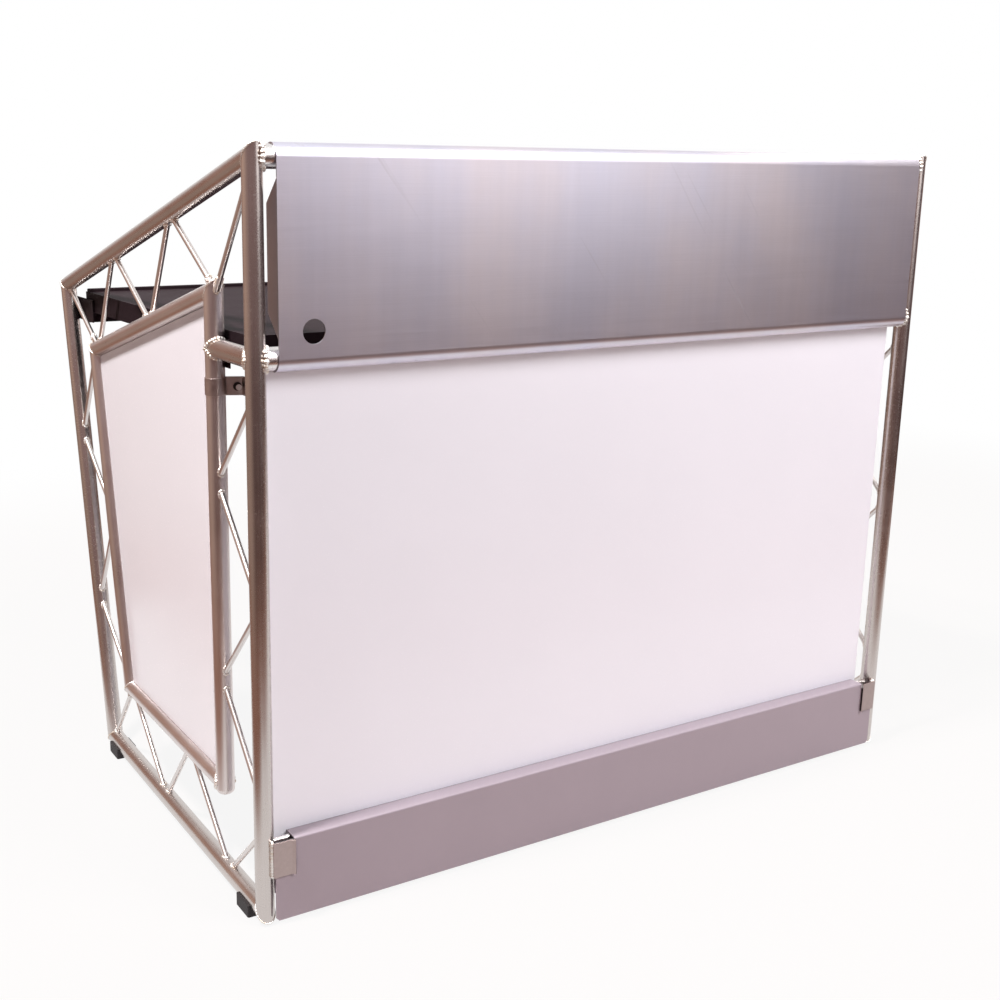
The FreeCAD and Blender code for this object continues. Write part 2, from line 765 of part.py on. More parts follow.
def side_panel():
    """The opal sheet inside the inner frame, clear of the strap clamp, and the tabs that it is stuck to."""
    edge = spacing + tube_radius + size("side_panel_gap")
    half = X_AXIS * (size("panel_thickness") / 2)
    corners = list(inset_corners(edge))
    strap_room = size("side_panel_front_gap") - size("side_panel_gap")
    corners[0] += Y_AXIS * strap_room
    corners[1] += slope_way * (strap_room / slope_way.y)
    points = [left(corner - half) for corner in corners]
    keep("left_side_panel", prism("side_panel", points, X_AXIS, "sizes.panel_thickness"))
    tabs = []
    plate_sizes = ("sizes.sheet", "sizes.tab_length", "sizes.tab_height")
    face = size("panel_thickness") / 2
    low_tab = inner_bottom_front.z + size("tab_rise")
    high_tab = inner_top_back.z - size("tab_drop")
    for number, height in enumerate((low_tab, high_tab)):
        front = left(Vector(face, spacing, height))
        plate = box("front_tab%d_plate" % number, front, plate_sizes)
        tabs.append(cut("front_tab%d" % number, plate, solids["inner_front_post"]))
        axis = meet(inner_bottom_back, lean_way, Vector(0, 0, height), Y_AXIS)
        back = axis + X_AXIS * face + lean_in * size("tab_length")
        plate = box("back_tab%d_plate" % number, Vector(), plate_sizes)
        plate.Placement = Placement(left(back), Rotation(X_AXIS, lean_in * -1, lean_way, "XZY"))
        tabs.append(cut("back_tab%d" % number, plate, solids["inner_back_post"]))
    keep("left_side_tabs", group("side_tabs", tabs))


side_panel()


def strap_clamp():
    """A strap round the inner front post, with a folded tongue closed by a round-headed bolt."""
    axis = Vector(0, spacing, clamp_height)
    half_strap = Z_AXIS * (size("clamp_width") / 2)
    strap_radius = "sizes.tube_diameter / 2 + sizes.clamp_strap"
    band = bar("clamp_band", strap_radius, left(axis - half_strap), left(axis + half_strap))
    turn = math.radians(size("tongue_turn"))
    way = Vector(math.sin(turn), -math.cos(turn), 0)
    face_way = Vector(-math.cos(turn), -math.sin(turn), 0)
    strap = size("clamp_strap")
    fold = way * size("tongue_fold")
    tip = fold - Y_AXIS * size("tongue_tip")
    fold_skew = (face_way - X_AXIS) * (strap / (1 - face_way.x))
    outline = (
        face_way * strap, fold + fold_skew, tip - X_AXIS * strap,
        tip + X_AXIS * strap, fold - fold_skew, face_way * -strap,
    )
    low = axis - Z_AXIS * (size("tongue_width") / 2)
    tongue = prism("clamp_tongue", [left(low + corner) for corner in outline], Z_AXIS, "sizes.tongue_width")
    hole = axis + way * size("clamp_bolt_reach")
    head_low = left(hole + face_way * strap)
    nut_low = left(hole - face_way * strap)
    head_rise = face_way * size("bolt_head_height")
    shank = bar("clamp_shank", "sizes.bolt_diameter / 2", head_low, nut_low - head_rise)
    body = fuse("clamp_stock", band, tongue)
    keep("left_clamp", cut("clamp", body, solids["inner_front_post"], shank))
    head = bar("clamp_bolt_head", "sizes.bolt_head_width / 2", head_low, head_low + head_rise)
    nut = hexagon_head("clamp_nut", nut_low, face_way * -1)
    keep("left_clamp_bolt", fuse("clamp_bolt", shank, head, nut))


strap_clamp()


def mirror_to_right():
    """The right side frame and its fittings are the left ones mirrored."""
    for name, feature in list(nodes.items()):
        if not name.startswith("left_"):
            continue
        twin_name = "right_" + name[len("left_"):]
        twin = doc.addObject("Part::Mirroring", twin_name)
        twin.Source = feature
        twin.Base = Vector(0, 0, 0)
        twin.Normal = X_AXIS
        keep(twin_name, twin)


mirror_to_right()
doc.recompute()

# Check every object, then write each sub-part
failed = [item.Name for item in doc.Objects if "Invalid" in item.State or "Error" in item.State]
if failed:
    raise RuntimeError("failed objects: %s" % ", ".join(failed))
for name, feature in nodes.items():
    if feature.Shape.isNull() or not feature.Shape.isValid() or not feature.Shape.Solids:
        raise RuntimeError("bad shape: %s" % name)
os.makedirs("parts", exist_ok=True)
for name, feature in nodes.items():
    feature.Shape.exportStep(os.path.join("parts", name + ".step"))
print("%d sub-parts written" % len(nodes))
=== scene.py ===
import math

import bmesh
import bpy
import numpy as np
from bpy.props import FloatProperty, FloatVectorProperty, PointerProperty
from mathutils import Matrix, Vector


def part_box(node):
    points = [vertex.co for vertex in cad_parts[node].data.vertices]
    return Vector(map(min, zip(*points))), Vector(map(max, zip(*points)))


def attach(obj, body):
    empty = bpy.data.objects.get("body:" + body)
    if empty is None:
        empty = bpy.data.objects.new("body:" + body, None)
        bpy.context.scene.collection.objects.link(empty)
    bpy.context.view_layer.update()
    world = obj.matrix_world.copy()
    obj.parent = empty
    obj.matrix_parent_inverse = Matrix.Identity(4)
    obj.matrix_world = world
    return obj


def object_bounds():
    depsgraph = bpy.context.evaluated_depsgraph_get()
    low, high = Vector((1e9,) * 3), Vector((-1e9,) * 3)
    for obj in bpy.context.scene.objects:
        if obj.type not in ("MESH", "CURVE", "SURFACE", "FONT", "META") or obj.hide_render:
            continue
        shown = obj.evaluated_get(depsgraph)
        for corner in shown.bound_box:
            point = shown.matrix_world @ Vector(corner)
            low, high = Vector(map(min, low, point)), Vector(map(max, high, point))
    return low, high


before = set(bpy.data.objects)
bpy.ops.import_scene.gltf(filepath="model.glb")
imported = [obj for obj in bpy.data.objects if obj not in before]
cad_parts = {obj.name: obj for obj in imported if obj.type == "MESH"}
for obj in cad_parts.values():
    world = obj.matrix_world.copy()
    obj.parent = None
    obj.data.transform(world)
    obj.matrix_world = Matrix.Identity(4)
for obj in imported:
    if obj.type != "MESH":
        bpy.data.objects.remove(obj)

bl_info = {
    "name": "DJ booth looks",
    "version": (1, 0, 0),
    "blender": (4, 5, 0),
    "location": "View3D > Sidebar > DJ booth",
    "description": "Finishes, weld beads and studio for a truss-framed DJ booth",
    "category": "Object",
}

# The booth stands on the floor with its middle at the origin: x runs across it and y from front to back.
SIDES = ("left", "right")
X_WAY = Vector((1, 0, 0))
Y_WAY = Vector((0, 1, 0))
Z_WAY = Vector((0, 0, 1))
CAD_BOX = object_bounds()
WHITE = (1.0, 1.0, 1.0, 1.0)
COAT_TINT = (0.9, 0.78, 0.82, 1.0)
RAY_KINDS = ("Is Camera Ray", "Is Glossy Ray", "Is Transmission Ray")

# Level directions as the camera sees them: straight on to the backdrop, and to the left
CAMERA_TURN = math.radians(30.452)
BACKDROP_WAY = (math.sin(CAMERA_TURN), math.cos(CAMERA_TURN), 0.0)
LEFT_WAY = (-math.cos(CAMERA_TURN), math.sin(CAMERA_TURN), 0.0)

# The floor's half size, and the middle and half size of the white part that metal mirrors
FLOOR_HALF = 30.0
SHEET_MIDDLE = (0.6, 0.0, 0.0)
SHEET_HALF = (1.48, 1.02, 0.0)
# Share of its own white that the floor shows the camera near the booth, where shadows fall, and metal
FLOOR_GLOW = 0.9
FLOOR_MIRRORED = 0.95

# The clamp bolts' heads: their turn, and the shift off the middle, radius and blur of their bright face,
# round which a dark crescent is painted shade
BOLT_TURN = math.radians(65)
BOLT_WAY = (-math.cos(BOLT_TURN), -math.sin(BOLT_TURN), 0.0)
BOLT_FACE_SHIFT = Vector((0.0018, -0.0008, -0.0014))
BOLT_FACE_RADIUS = 0.0046
BOLT_FACE_BLUR = 0.0004

# Seams: how far a line stands off the tube it lies on, points along it, and points round its bead
SEAM_STAND = 0.0002
ROD_SEAM_POINTS = 44
TUBE_SEAM_POINTS = 150
HOLDER_SEAM_POINTS = 40
BEAD_SIDES = 8
LEAST_RIPPLES = 6
# A bead's unevenness: how fast it runs beside the ripples, and its shift in radians per metre of height
UNEVEN_PACE = 0.37
UNEVEN_SHIFT = 900
# Shares of the set pitch, ripple and bead that suit the rods, the stubs and the holders
ROD_PITCH = 0.8
STUB_RIPPLE = 1.6
STUB_PITCH = 1.3
HOLDER_RIPPLE = 1.4
HOLDER_BEAD = 0.8
# Where the holder's two runs lie in front of its back edge, as shares of the set bead
HOLDER_RUNS = (0.2, 1.2)
# Vertices of a CAD mesh nearer than this are one
MERGE_GAP = 1e-6
# How squarely a face has to look across a bar to count as its side
SIDE_LIMIT = 0.05
# A direction that no bar of the booth runs along
ODD_WAY = (0.36, 0.48, 0.8)
# The nearest that a rail stub's seam comes to the middle of its post, as a share of the post's radius
COLLAR_SINK = 0.62

# Soft boxes: place, the point they look at, width and height in metres, watts, and whether metal shows them
LAMPS = {
    "side_light": ((-2.35, -0.5, 4.6), (-0.6, 0.0, 0.6), 0.5, 0.5, 380, True),
    "front_light": ((1.5, -3.1, 3.6), (0.0, -0.45, 0.6), 2.0, 2.0, 174, True),
    "low_light": ((2.2, -3.8, 1.95), (0.0, -0.45, 1.0), 2.0, 1.8, 21, True),
    "right_light": ((3.8, 0.7, 2.4), (0.67, 0.2, 0.6), 2.0, 2.0, 70, True),
    "back_light": ((0.5, 3.8, 1.7), (0.0, -0.4, 0.5), 2.2, 1.6, 75, False),
}


# Shader maths as Python expressions
class Value:
    """A socket of a shader, so that maths on it reads as plain Python."""

    def __init__(self, shader, socket):
        self.shader = shader
        self.socket = socket

    def maths(self, operation, *values):
        """The result of a Math node on values."""
        return self.shader.node("ShaderNodeMath", {"operation": operation}, dict(enumerate(values)))

    def __add__(self, other):
        return self.maths("ADD", self, other)

    __radd__ = __add__

    def __mul__(self, other):
        return self.maths("MULTIPLY", self, other)

    def __sub__(self, other):
        return self.maths("SUBTRACT", self, other)

    def __abs__(self):
        return self.maths("ABSOLUTE", self)


class Shader:
    """A node tree under construction."""

    def __init__(self, tree):
        self.tree = tree

    def node(self, kind, settings=None, sockets=None, output=0):
        """Add a node: its settings first, then the values or links of its sockets."""
        made = self.tree.nodes.new(kind)
        for name, value in (settings or {}).items():
            setattr(made, name, value)
        for name, value in (sockets or {}).items():
            self.feed(made.inputs[name], value)
        return Value(self, made.outputs[output])

    def feed(self, socket, value):
        """Link a value to a socket, or set a plain one on it."""
        if isinstance(value, Value):
            self.tree.links.new(value.socket, socket)
        else:
            socket.default_value = value

    def noise(self, place, scale, detail=2.0, roughness=0.5):
        """Soft cloud noise from 0 to 1 about the middle."""
        sockets = {"Vector": place, "Scale": scale, "Detail": detail, "Roughness": roughness}
        return self.node("ShaderNodeTexNoise", {"noise_dimensions": "3D"}, sockets)

    def step(self, value, low, high):
        """0 below low, 1 above high, and a smooth rise between them."""
        sockets = {"Value": value, "From Min": low, "From Max": high}
        return self.node("ShaderNodeMapRange", {"interpolation_type": "SMOOTHSTEP"}, sockets)

    def mix(self, factor, first, second):
        """A colour between two colours."""
        sockets = {"Factor": factor, 6: first, 7: second}
        return self.node("ShaderNodeMix", {"data_type": "RGBA"}, sockets, output=2)

    def vector(self, operation, *values, output=0):
        """The result of a Vector Math node on values."""
        return self.node("ShaderNodeVectorMath", {"operation": operation}, dict(enumerate(values)), output)

    def scaled(self, value, factor):
        """A vector or colour times a factor."""
        return self.node("ShaderNodeVectorMath", {"operation": "SCALE"}, {0: value, "Scale": factor})

    def drawn_out(self, place, way, share):
        """Places pressed together along a way, so that noise on them runs in lines along it."""
        along = self.vector("DOT_PRODUCT", place, tuple(way), output=1)
        return self.vector("ADD", place, self.scaled(tuple(way), along * (share - 1.0)))


class Finish(Shader):
    """A material on its Principled shader."""

    def __init__(self, name, constants=None):
        self.material = bpy.data.materials.new(name)
        self.material.use_nodes = True
        super().__init__(self.material.node_tree)
        self.principled = self.tree.nodes["Principled BSDF"]
        self.place = self.node("ShaderNodeTexCoord", output=3)
        for socket, value in (constants or {}).items():
            self.set(socket, value)

    def set(self, socket, value):
        """Feed one socket of the Principled shader."""
        self.feed(self.principled.inputs[socket], value)

    def bump(self, height, distance, strength=1.0, base=None):
        """Raise the surface by a height from 0 to 1 times a distance in metres."""
        sockets = {"Height": height, "Distance": distance, "Strength": strength}
        if base is not None:
            sockets["Normal"] = base
        self.set("Normal", self.node("ShaderNodeBump", sockets=sockets))


def shade(colour, factor):
    """A colour made darker or lighter, with its alpha."""
    return (*[channel * factor for channel in colour[:3]], 1.0)


def tinted(colour, amount, shares):
    """A colour whose channels each change by their share of an amount, with its alpha."""
    return (*[channel * (1 + amount * share) for channel, share in zip(colour[:3], shares)], 1.0)


def plain(colour):
    """A colour with its alpha."""
    return shade(colour, 1.0)


# Finishes
def drawn_metal(name, colour, roughness, way=None, contrast=0.16):
    """Satin aluminium tube with lengthwise draw lines, handling marks and small dull specks."""
    finish = Finish(name, {"Metallic": 1.0})
    place = finish.place if way is None else finish.drawn_out(finish.place, way, 0.015)
    lines = finish.noise(place, 620.0, 3.0, 0.6)
    marks = finish.noise(finish.place, 11.0, 4.0, 0.6)
    specks = finish.step(finish.noise(finish.place, 310.0, 2.0), 0.63, 0.74)
    tone = lines * 0.45 + marks * 0.55
    finish.set("Base Color", finish.mix(tone, shade(colour, 1 - contrast), shade(colour, 1 + contrast)))
    finish.set("Roughness", roughness + (marks - 0.5) * 0.16 + (lines - 0.5) * 0.10 + specks * 0.10)
    finish.bump(lines - specks * 0.4, 0.00003, 0.4)
    return finish.material


def sheet_metal(name, colour, roughness, contrast=0.11):
    """Rolled aluminium sheet: grain, upright streaks, random clouds tinted bluish and brownish as painted
    reflection of the room, scuffs, and painted shade on the folded ends.
    """
    finish = Finish(name, {"Metallic": 1.0})
    fine = finish.noise(finish.drawn_out(finish.place, X_WAY, 0.01), 900.0, 3.0, 0.65)
    streaks = finish.noise(finish.drawn_out(finish.place, Z_WAY, 0.05), 38.0, 4.0, 0.6)
    cloud_place = finish.drawn_out(finish.place, Z_WAY, 0.5)
    cloud = finish.step(finish.noise(cloud_place, 4.5, 4.0, 0.55), 0.25, 0.75)
    scuff_place = finish.drawn_out(finish.place, Vector((0.6, 0, -0.8)), 0.04)
    scuffs = finish.step(finish.noise(scuff_place, 60.0, 2.0), 0.66, 0.78)
    # Painted reflection: the random clouds lean bluish or brownish, standing in for the room that the sheet
    # reflects.
    cool_reflection = tinted(colour, contrast, (-0.5, -0.2, 0.3))
    warm_reflection = tinted(colour, contrast, (0.5, 0.1, -0.3))
    tone = finish.scaled(finish.mix(cloud, cool_reflection, warm_reflection), 1 + (fine + streaks - 1) * contrast)
    tone = finish.mix(scuffs * 0.5, tone, shade(colour, 0.75))
    finish.set("Roughness", roughness + (cloud - 0.5) * 0.03 + (fine - 0.5) * 0.10 + scuffs * 0.08)
    finish.bump(fine, 0.00004, 0.35)
    # Painted shade: faces that look sideways, the folded ends, are painted darker, as shade falls on them.
    normal = finish.node("ShaderNodeNewGeometry", output=1)
    sideways = abs(finish.vector("DOT_PRODUCT", normal, tuple(X_WAY), output=1))
    shaded_ends = finish.step(sideways, 0.6, 0.9)
    finish.set("Base Color", finish.mix(shaded_ends, tone, shade(colour, 0.52)))
    return finish.material


def bright_metal(name, colour, roughness, round_edge=0.0008):
    """Plated or polished small metal parts with rub marks and worn edges."""
    finish = Finish(name, {"Metallic": 1.0})
    rub = finish.noise(finish.place, 140.0, 4.0, 0.65)
    pits = finish.noise(finish.place, 900.0, 2.0)
    finish.set("Base Color", finish.mix(rub, shade(colour, 0.82), shade(colour, 1.12)))
    finish.set("Roughness", roughness + (rub - 0.5) * 0.22)
    edges = finish.node("ShaderNodeBevel", {"samples": 6}, {"Radius": round_edge})
    finish.bump(pits * 0.5 + rub * 0.5, 0.00006, 0.5, edges)
    return finish.material


def round_bolt(name, colour, roughness):
    """A plated round head whose bright face sits off the middle, with painted shade as a dark crescent at
    the rim.
    """
    finish = Finish(name, {"Metallic": 1.0})
    low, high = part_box("left_clamp_bolt")
    left_axis = (low + high) / 2 + BOLT_FACE_SHIFT
    mirrored = finish.vector("MULTIPLY", finish.vector("ABSOLUTE", finish.place), (-1.0, 0.0, 1.0))
    place = finish.vector("ADD", mirrored, finish.vector("MULTIPLY", finish.place, (0.0, 1.0, 0.0)))
    from_axis = finish.vector("CROSS_PRODUCT", finish.vector("SUBTRACT", place, tuple(left_axis)), BOLT_WAY)
    away = finish.vector("LENGTH", from_axis, output=1)
    rub = finish.noise(finish.place, 240.0, 3.0)
    bright = finish.mix(rub, shade(colour, 0.8), shade(colour, 1.05))
    # Painted shade: outside the shifted bright face the head is painted near black, as the shade in a
    # recess would fall.
    crescent_shade = finish.step(away, BOLT_FACE_RADIUS - BOLT_FACE_BLUR, BOLT_FACE_RADIUS + BOLT_FACE_BLUR)
    finish.set("Base Color", finish.mix(crescent_shade, bright, shade(colour, 0.04)))
    finish.set("Roughness", roughness + (rub - 0.5) * 0.2)
    finish.bump(rub, 0.00006, 0.5)
    return finish.material


def weld_metal(name, colour, roughness):
    """Bright weld bead, duller and faintly straw-tinted in patches."""
    finish = Finish(name, {"Metallic": 1.0})
    patch = finish.noise(finish.place, 90.0, 3.0)
    grit = finish.noise(finish.place, 1400.0, 2.0)
    straw = tinted(colour, 1.0, (-0.14, -0.24, -0.34))
    finish.set("Base Color", finish.mix(finish.step(patch, 0.42, 0.7), plain(colour), straw))
    finish.set("Roughness", roughness + (grit - 0.5) * 0.3)
    finish.bump(grit, 0.00012, 0.6)
    return finish.material


def opal_sheet(name, colour, roughness):
    """White opal plastic: an even glossy sheet with faint cloudiness and fine dust."""
    finish = Finish(name, {"IOR": 1.49})
    cloud = finish.noise(finish.place, 3.2, 3.0)
    dust = finish.step(finish.noise(finish.place, 420.0, 2.0), 0.66, 0.78)
    tone = cloud * 0.9 + dust * 0.25
    finish.set("Base Color", finish.mix(tone, shade(colour, 1.02), shade(colour, 0.965)))
    finish.set("Roughness", roughness + (cloud - 0.5) * 0.08 + dust * 0.15)
    ripple = finish.noise(finish.place, 7.0, 1.0)
    finish.bump(ripple, 0.0004, 0.12)
    return finish.material


def paint(name, colour, roughness, peel_scale, peel_depth, wear=0.12, gloss=0.5, crevice=None):
    """Powder coat with its orange-peel texture, faint rubbed patches and, when given a reach for it,
    painted shade that darkens its crevices.
    """
    finish = Finish(name, {"Specular IOR Level": gloss, "Specular Tint": COAT_TINT})
    peel = finish.noise(finish.place, peel_scale, 3.0, 0.55)
    patch = finish.noise(finish.place, 9.0, 4.0, 0.6)
    tone = finish.mix(patch, shade(colour, 1 - wear), shade(colour, 1 + wear))
    if crevice is not None:
        # Painted shade: the colour goes dark where other parts close in within the reach, as shade falls in
        # gaps and corners.
        reach = {"Distance": crevice}
        open_share = finish.node("ShaderNodeAmbientOcclusion", {"samples": 8}, reach, output=1)
        tone = finish.mix(finish.step(open_share, 0.45, 0.85), shade(colour, 0.1), tone)
    finish.set("Base Color", tone)
    finish.set("Roughness", roughness + (patch - 0.5) * 0.14 + (peel - 0.5) * 0.12)
    finish.bump(peel, peel_depth, 0.6)
    return finish.material


def dress(material, *names):
    """Give CAD nodes a finish; a name with {} stands for both sides."""
    for name in names:
        nodes = [name.format(side + "_") for side in SIDES] if "{}" in name else [name]
        for node in nodes:
            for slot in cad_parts[node].material_slots:
                slot.material = material


# Weld beads, laid along the seams that the frame's own tubes and rods make
class Bar:
    """Centre line, radius and reach of a round tube or rod, measured on its faces."""

    def __init__(self, points, normals, areas):
        way = self.least_way(normals, areas)
        sides = np.abs(normals @ way) < SIDE_LIMIT
        way = self.least_way(normals[sides], areas[sides])
        first = np.cross(way, ODD_WAY)
        first /= np.linalg.norm(first)
        second = np.cross(way, first)
        centre = np.zeros(3)
        for across in (first, second):
            reach = points @ across
            centre += across * (reach.min() + reach.max()) / 2
        along = points @ way
        self.radius = np.linalg.norm(points - centre - np.outer(along, way), axis=1).max()
        self.way = Vector(way)
        self.start = Vector(centre + way * along.min())
        self.end = Vector(centre + way * along.max())

    @staticmethod
    def least_way(normals, areas):
        """The direction that the faces look along least, which is a bar's own."""
        return np.linalg.eigh((normals * areas[:, None]).T @ normals)[1][:, 0]

    def away(self, point):
        """Distance of a point from this bar's centre line."""
        return (point - self.start).cross(self.way).length

    def meets(self, point, way):
        """Distance along a ray to this bar's surface, or None where the ray passes it by."""
        gap = point - self.start
        flat_gap = gap - self.way * gap.dot(self.way)
        flat_way = way - self.way * way.dot(self.way)
        square = flat_way.length_squared
        if math.isclose(square, 0.0, abs_tol=1e-9):
            return None
        half = flat_gap.dot(flat_way)
        inside = half * half - square * (flat_gap.length_squared - (self.radius + SEAM_STAND) ** 2)
        if inside < 0:
            return None
        distance = (-half - math.sqrt(inside)) / square
        place = (point + way * distance - self.start).dot(self.way)
        reach = (self.end - self.start).length
        if distance < 0 or not -self.radius < place < reach + self.radius:
            return None
        return distance


def bars_of(node):
    """Each round bar in a CAD node."""
    mesh = bmesh.new()
    mesh.from_mesh(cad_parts[node].data)
    bmesh.ops.remove_doubles(mesh, verts=mesh.verts, dist=MERGE_GAP)
    bars = []
    left = set(mesh.faces)
    for seed in mesh.faces:
        if seed not in left:
            continue
        left.remove(seed)
        island = [seed]
        for face in island:
            for other in (other for edge in face.edges for other in edge.link_faces):
                if other in left:
                    left.remove(other)
                    island.append(other)
        points = np.array([vert.co for face in island for vert in face.verts])
        normals = np.array([face.normal for face in island])
        areas = np.array([face.calc_area() for face in island])
        bars.append(Bar(points, normals, areas))
    mesh.free()
    return sorted(bars, key=lambda bar: (round(bar.start.z, 4), round(bar.start.y, 4)))


def ring(bar, steps):
    """Points round a bar's start, as offsets from its centre line."""
    first = bar.way.orthogonal().normalized()
    second = bar.way.cross(first)
    for step in range(steps):
        turn = 2 * math.pi * step / steps
        yield (first * math.cos(turn) + second * math.sin(turn)) * bar.radius


def seam_on_bars(bar, outward, others, steps):
    """The line where one end of a bar runs into other bars, or None where it is free."""
    middle = (bar.start + bar.end) / 2
    way = bar.way if outward else -bar.way
    line = []
    for offset in ring(bar, steps):
        hits = [other.meets(middle + offset, way) for other in others]
        hits = [hit for hit in hits if hit is not None]
        if not hits:
            return None
        line.append(middle + offset + way * min(hits))
    return line


def corner_of(first, second):
    """Where two centre lines in one plane cross."""
    gap = second.start - first.start
    turn = first.way.cross(second.way)
    run = gap.cross(second.way).dot(turn) / turn.length_squared
    return first.start + first.way * run


def seam_at_mitre(first, second, steps):
    """The line round a mitred corner of two tubes."""
    corner = corner_of(first, second)
    ways = []
    for bar in (first, second):
        middle = (bar.start + bar.end) / 2
        ways.append((middle - corner).normalized())
    flat = (ways[0] - ways[1]).normalized()
    line = []
    for offset in ring(first, steps):
        point = corner + offset
        line.append(point - first.way * (offset.dot(flat) / first.way.dot(flat)))
    return line


def lay_bead(mesh, line, centre, radius, ripple, pitch):
    """Add one closed bead along a line to a mesh: even ripples, and a slower, half as high unevenness."""
    spans = [(line[number] - line[number - 1]).length for number in range(len(line))]
    ripples = max(LEAST_RIPPLES, round(sum(spans) / pitch))
    run = 0.0
    rows = []
    for number, point in enumerate(line):
        run += spans[number]
        phase = run / sum(spans) * ripples * 2 * math.pi
        uneven = math.sin(phase * UNEVEN_PACE + point.z * UNEVEN_SHIFT) / 2
        swell = radius * (1 + ripple * (math.sin(phase) + uneven))
        along = (line[(number + 1) % len(line)] - line[number - 1]).normalized()
        out = point - centre
        out = (out - along * out.dot(along)).normalized()
        side = along.cross(out)
        row = []
        for section in range(BEAD_SIDES):
            turn = 2 * math.pi * section / BEAD_SIDES
            place = point + (out * math.cos(turn) + side * math.sin(turn)) * swell
            row.append(mesh.verts.new(Vector(map(min, map(max, place, CAD_BOX[0]), CAD_BOX[1]))))
        rows.append(row)
    for number, row in enumerate(rows):
        last = rows[number - 1]
        for section in range(BEAD_SIDES):
            mesh.faces.new((last[section - 1], last[section], row[section], row[section - 1]))


def piece_from(mesh, name, body, material):
    """A finished mesh as a named piece that rides on a CAD body."""
    bmesh.ops.recalc_face_normals(mesh, faces=mesh.faces)
    data = bpy.data.meshes.new(name)
    mesh.to_mesh(data)
    mesh.free()
    data.polygons.foreach_set("use_smooth", [True] * len(data.polygons))
    data.materials.append(material)
    piece = bpy.data.objects.new(name, data)
    bpy.context.scene.collection.objects.link(piece)
    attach(piece, body)
    return piece


OUTER_TUBES = ("front_post", "back_post", "top_tube", "bottom_tube")
INNER_TUBES = ("inner_front_post", "inner_back_post", "inner_top_tube", "inner_bottom_tube")
ROD_NODES = ("top_lacing", "top_brace", "front_lacing", "back_lacing", "bottom_lacing")
MITRES = (
    ("front_post", "bottom_tube"),
    ("bottom_tube", "back_post"),
    ("back_post", "top_tube"),
    ("top_tube", "front_post"),
    ("inner_front_post", "inner_top_tube"),
    ("inner_top_tube", "inner_back_post"),
    ("inner_back_post", "inner_bottom_tube"),
)
BUTTED = (
    ("inner_bottom_tube", "inner_front_post"),
    ("spreader", "front_post"),
    ("spreader", "inner_front_post"),
)


# What a user may change
class BoothMetals(bpy.types.PropertyGroup):
    """Colours and gloss of the metal parts."""

    tube: FloatVectorProperty(
        name="Tubes", description="Colour of the frame's tubes", subtype="COLOR",
        default=(0.60, 0.545, 0.52), min=0, max=1)
    inner_tube: FloatVectorProperty(
        name="Inner tubes", description="Colour of the inner frames' tubes", subtype="COLOR",
        default=(0.72, 0.65, 0.63), min=0, max=1)
    inner_roughness: FloatProperty(
        name="Inner tube roughness", description="How matt the inner frames' tubes are", subtype="FACTOR",
        default=0.31, min=0, max=1)
    rod: FloatVectorProperty(
        name="Rods", description="Colour of the lacing rods", subtype="COLOR",
        default=(0.72, 0.67, 0.65), min=0, max=1)
    rail: FloatVectorProperty(
        name="Rails", description="Colour of the cross rails and their stubs", subtype="COLOR",
        default=(0.78, 0.75, 0.74), min=0, max=1)
    fascia: FloatVectorProperty(
        name="Fascia", description="Colour of the fascia's sheet", subtype="COLOR",
        default=(0.70, 0.665, 0.735), min=0, max=1)
    holder: FloatVectorProperty(
        name="Holders", description="Colour of the kickboard's holders", subtype="COLOR",
        default=(0.43, 0.335, 0.32), min=0, max=1)
    clamp: FloatVectorProperty(
        name="Clamps", description="Colour of the strap clamps", subtype="COLOR",
        default=(0.52, 0.44, 0.42), min=0, max=1)
    fitting: FloatVectorProperty(
        name="Fittings", description="Colour of the studs, tabs and panel brackets", subtype="COLOR",
        default=(0.72, 0.69, 0.68), min=0, max=1)
    bolt: FloatVectorProperty(
        name="Bolts", description="Colour of the plated bolts", subtype="COLOR",
        default=(0.62, 0.61, 0.60), min=0, max=1)
    weld: FloatVectorProperty(
        name="Welds", description="Colour of the weld beads", subtype="COLOR",
        default=(0.86, 0.83, 0.80), min=0, max=1)
    tube_roughness: FloatProperty(
        name="Tube roughness", description="How dull the tubes are", subtype="FACTOR",
        default=0.27, min=0, max=1)
    fascia_roughness: FloatProperty(
        name="Fascia roughness", description="How dull the fascia is", subtype="FACTOR",
        default=0.36, min=0, max=1)


class BoothPaints(bpy.types.PropertyGroup):
    """Colours of the panels, the painted sheets and the feet."""

    opal: FloatVectorProperty(
        name="Panels", description="Colour of the opal panels", subtype="COLOR",
        default=(0.86, 0.835, 0.905), min=0, max=1)
    # Painted light: the side panels are the front panels' opal, given their own darker, warmer colour for
    # the light that falls on the sides.
    side_opal: FloatVectorProperty(
        name="Side panels", description="Colour of the opal side panels", subtype="COLOR",
        default=(0.82, 0.77, 0.805), min=0, max=1)
    board: FloatVectorProperty(
        name="Kickboard", description="Colour of the kickboard", subtype="COLOR",
        default=(0.36, 0.30, 0.34), min=0, max=1)
    desk: FloatVectorProperty(
        name="Desk", description="Colour of the desk's powder coat", subtype="COLOR",
        default=(0.017, 0.010, 0.012), min=0, max=1)
    rubber: FloatVectorProperty(
        name="Feet", description="Colour of the rubber feet", subtype="COLOR",
        default=(0.016, 0.015, 0.015), min=0, max=1)


